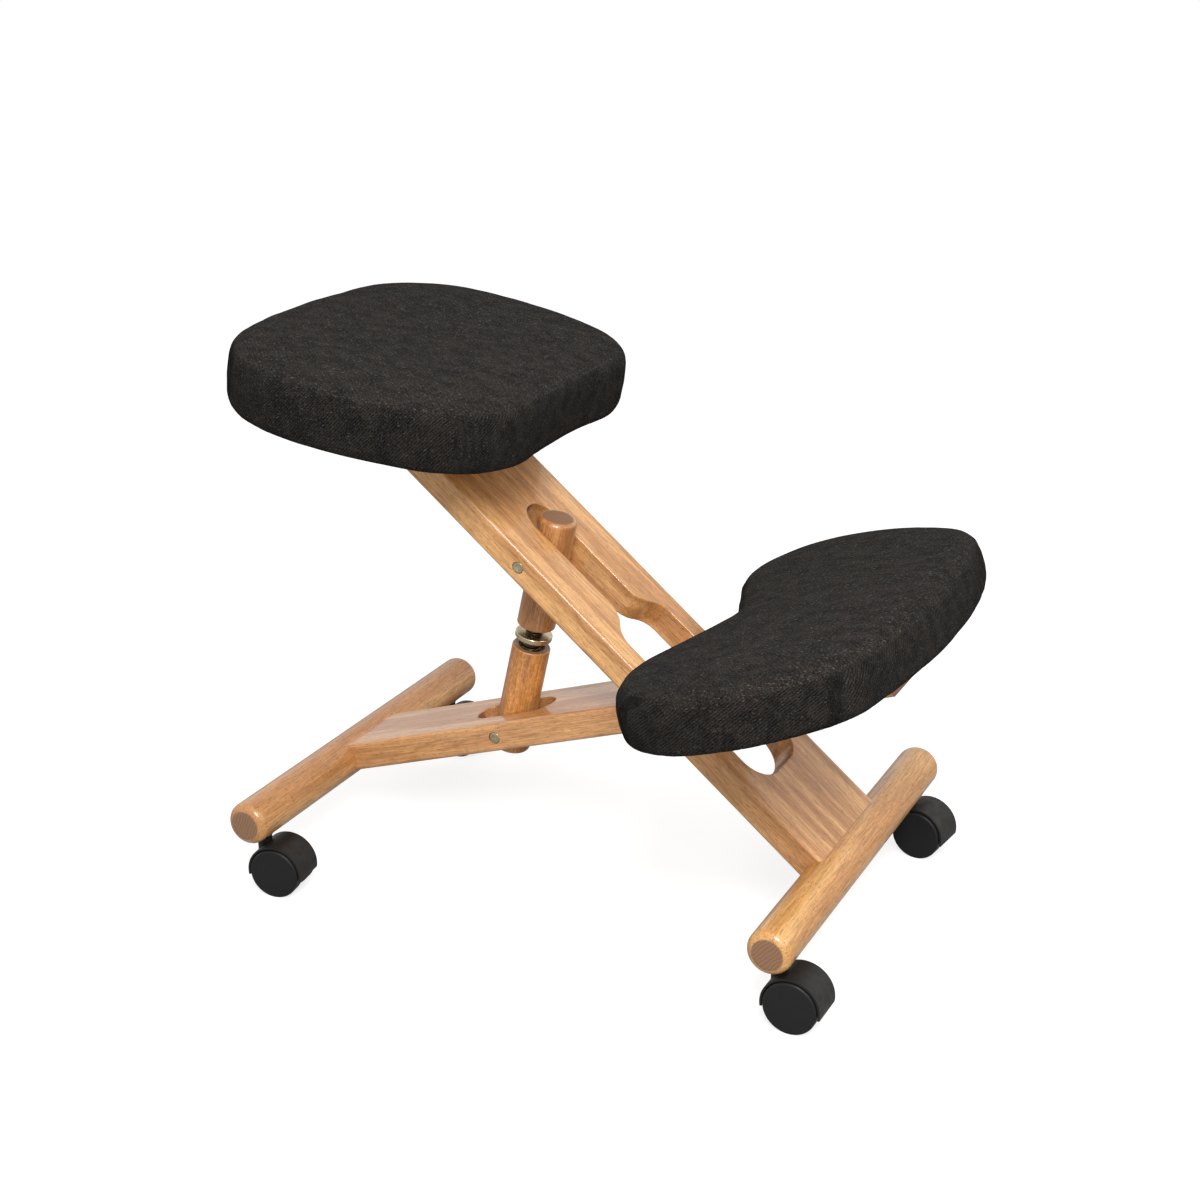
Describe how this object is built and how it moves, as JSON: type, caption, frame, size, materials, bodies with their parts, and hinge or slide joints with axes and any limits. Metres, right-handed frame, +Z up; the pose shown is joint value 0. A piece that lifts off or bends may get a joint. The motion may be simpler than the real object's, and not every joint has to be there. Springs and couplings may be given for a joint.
{
  "type": "kneeling chair",
  "caption": "Castored kneeling chair: two crossing wooden beams that fold to set the height with a screw between two posts, a padded seat and a notched knee pad.",
  "frame": {"origin": "centre of the bounding box, on the floor", "axes": "+X to the front of the chair, where the knee pad is; +Y across it; +Z up"},
  "size_m": [0.6788, 0.4752, 0.5375],
  "materials": {
    "lacquered_wood": "satin clear lacquer over pale hardwood",
    "plywood": "raw plywood",
    "cushion_fabric": "charcoal wool twill with fine flecks",
    "yellow_zinc_steel": "yellow zinc plating",
    "dark_steel": "oiled dark steel",
    "plain_steel": "zinc plated steel",
    "caster_hood_plastic": "fine matte texture",
    "caster_wheel_plastic": "smooth satin",
    "pale_nylon": "natural nylon"
  },
  "bodies": {
    "rear_frame": {"rear_beam": "lacquered_wood", "rear_crossbar": "lacquered_wood", "rear_bar_bolts": "plain_steel", "rear_barrel_nuts": "plain_steel", "rear_caster_sleeves": "plain_steel", "fold_bush": "plain_steel", "fold_washers": "pale_nylon", "knee_wedge": "lacquered_wood", "knee_board": "plywood", "knee_cushion": "cushion_fabric", "knee_bolts": "plain_steel", "knee_tee_nuts": "plain_steel", "lower_pivot_bolt": "yellow_zinc_steel", "lower_pivot_nut": "yellow_zinc_steel", "caster_stem_rear_near": "plain_steel", "caster_stem_rear_far": "plain_steel"},
    "main_frame": {"main_beam": "lacquered_wood", "front_crossbar": "lacquered_wood", "front_bar_bolts": "plain_steel", "front_barrel_nuts": "plain_steel", "front_caster_sleeves": "plain_steel", "seat_wedge": "lacquered_wood", "seat_board": "plywood", "seat_cushion": "cushion_fabric", "seat_bolts": "plain_steel", "seat_tee_nuts": "plain_steel", "upper_pivot_bolt": "yellow_zinc_steel", "upper_pivot_nut": "yellow_zinc_steel", "fold_bolt": "yellow_zinc_steel", "fold_nut": "yellow_zinc_steel", "caster_stem_front_near": "plain_steel", "caster_stem_front_far": "plain_steel"},
    "upper_strut": {"upper_post": "lacquered_wood", "post_bush": "plain_steel"},
    "height_screw": {"adjuster_screw": "dark_steel", "adjuster_ring": "yellow_zinc_steel"},
    "lower_strut": {"lower_post": "lacquered_wood", "post_nut": "plain_steel"},
    "caster_rear_near": {"caster_hood_rear_near": "caster_hood_plastic", "caster_axle_rear_near": "plain_steel"},
    "wheel_rear_near_outer": {"caster_wheel_rear_near_outer": "caster_wheel_plastic"},
    "wheel_rear_near_inner": {"caster_wheel_rear_near_inner": "caster_wheel_plastic"},
    "caster_rear_far": {"caster_hood_rear_far": "caster_hood_plastic", "caster_axle_rear_far": "plain_steel"},
    "wheel_rear_far_outer": {"caster_wheel_rear_far_outer": "caster_wheel_plastic"},
    "wheel_rear_far_inner": {"caster_wheel_rear_far_inner": "caster_wheel_plastic"},
    "caster_front_near": {"caster_hood_front_near": "caster_hood_plastic", "caster_axle_front_near": "plain_steel"},
    "wheel_front_near_outer": {"caster_wheel_front_near_outer": "caster_wheel_plastic"},
    "wheel_front_near_inner": {"caster_wheel_front_near_inner": "caster_wheel_plastic"},
    "caster_front_far": {"caster_hood_front_far": "caster_hood_plastic", "caster_axle_front_far": "plain_steel"},
    "wheel_front_far_outer": {"caster_wheel_front_far_outer": "caster_wheel_plastic"},
    "wheel_front_far_inner": {"caster_wheel_front_far_inner": "caster_wheel_plastic"}
  },
  "joints": [
    {"name": "height_fold", "type": "hinge", "parent": "rear_frame", "child": "main_frame", "pos_m": [0.09649, 0, 0.20672], "axis": [0, 1, 0], "range_deg": [-2.8, 11]},
    {"name": "upper_post_tilt", "type": "hinge", "parent": "main_frame", "child": "upper_strut", "pos_m": [-0.05595, 0, 0.33194], "axis": [0, 1, 0], "range_deg": [-6.12, 1.63]},
    {"name": "lower_post_tilt", "type": "hinge", "parent": "rear_frame", "child": "lower_strut", "pos_m": [-0.1, 0, 0.14059], "axis": [0, 1, 0], "range_deg": [-1.37, 5.08]},
    {"name": "adjuster_turn", "type": "hinge", "parent": "upper_strut", "child": "height_screw", "pos_m": [-0.07779, 0, 0.23709], "axis": [0.2243, 0, 0.9745], "range_deg": [-765.98, 2994.55]},
    {"name": "caster_rear_near_swivel", "type": "hinge", "parent": "rear_frame", "child": "caster_rear_near", "pos_m": [-0.28302, -0.1755, 0.048], "axis": [0, 0, 1], "continuous": true},
    {"name": "wheel_rear_near_outer_spin", "type": "hinge", "parent": "caster_rear_near", "child": "wheel_rear_near_outer", "pos_m": [-0.26566, -0.17328, 0.025], "axis": [-0.1271, 0.9919, 0], "continuous": true},
    {"name": "wheel_rear_near_inner_spin", "type": "hinge", "parent": "caster_rear_near", "child": "wheel_rear_near_inner", "pos_m": [-0.26566, -0.17328, 0.025], "axis": [-0.1271, 0.9919, 0], "continuous": true},
    {"name": "caster_rear_far_swivel", "type": "hinge", "parent": "rear_frame", "child": "caster_rear_far", "pos_m": [-0.28302, 0.1755, 0.048], "axis": [0, 0, 1], "continuous": true},
    {"name": "wheel_rear_far_outer_spin", "type": "hinge", "parent": "caster_rear_far", "child": "wheel_rear_far_outer", "pos_m": [-0.26556, 0.17672, 0.025], "axis": [-0.0698, 0.9976, 0], "continuous": true},
    {"name": "wheel_rear_far_inner_spin", "type": "hinge", "parent": "caster_rear_far", "child": "wheel_rear_far_inner", "pos_m": [-0.26556, 0.17672, 0.025], "axis": [-0.0698, 0.9976, 0], "continuous": true},
    {"name": "caster_front_near_swivel", "type": "hinge", "parent": "main_frame", "child": "caster_front_near", "pos_m": [0.25198, -0.1755, 0.048], "axis": [0, 0, 1], "continuous": true},
    {"name": "wheel_front_near_outer_spin", "type": "hinge", "parent": "caster_front_near", "child": "wheel_front_near_outer", "pos_m": [0.26948, -0.1758, 0.025], "axis": [0.0175, 0.9998, 0], "continuous": true},
    {"name": "wheel_front_near_inner_spin", "type": "hinge", "parent": "caster_front_near", "child": "wheel_front_near_inner", "pos_m": [0.26948, -0.1758, 0.025], "axis": [0.0175, 0.9998, 0], "continuous": true},
    {"name": "caster_front_far_swivel", "type": "hinge", "parent": "main_frame", "child": "caster_front_far", "pos_m": [0.25198, 0.1755, 0.048], "axis": [0, 0, 1], "continuous": true},
    {"name": "wheel_front_far_outer_spin", "type": "hinge", "parent": "caster_front_far", "child": "wheel_front_far_outer", "pos_m": [0.26934, 0.17331, 0.025], "axis": [0.1253, 0.9921, 0], "continuous": true},
    {"name": "wheel_front_far_inner_spin", "type": "hinge", "parent": "caster_front_far", "child": "wheel_front_far_inner", "pos_m": [0.26934, 0.17331, 0.025], "axis": [0.1253, 0.9921, 0], "continuous": true}
  ],
  "couplings": [
    {"joint": "upper_post_tilt", "follows": "height_fold", "ratio": -0.54685},
    {"joint": "lower_post_tilt", "follows": "height_fold", "ratio": 0.45315},
    {"joint": "adjuster_turn", "follows": "height_fold", "ratio": 271.78}
  ]
}
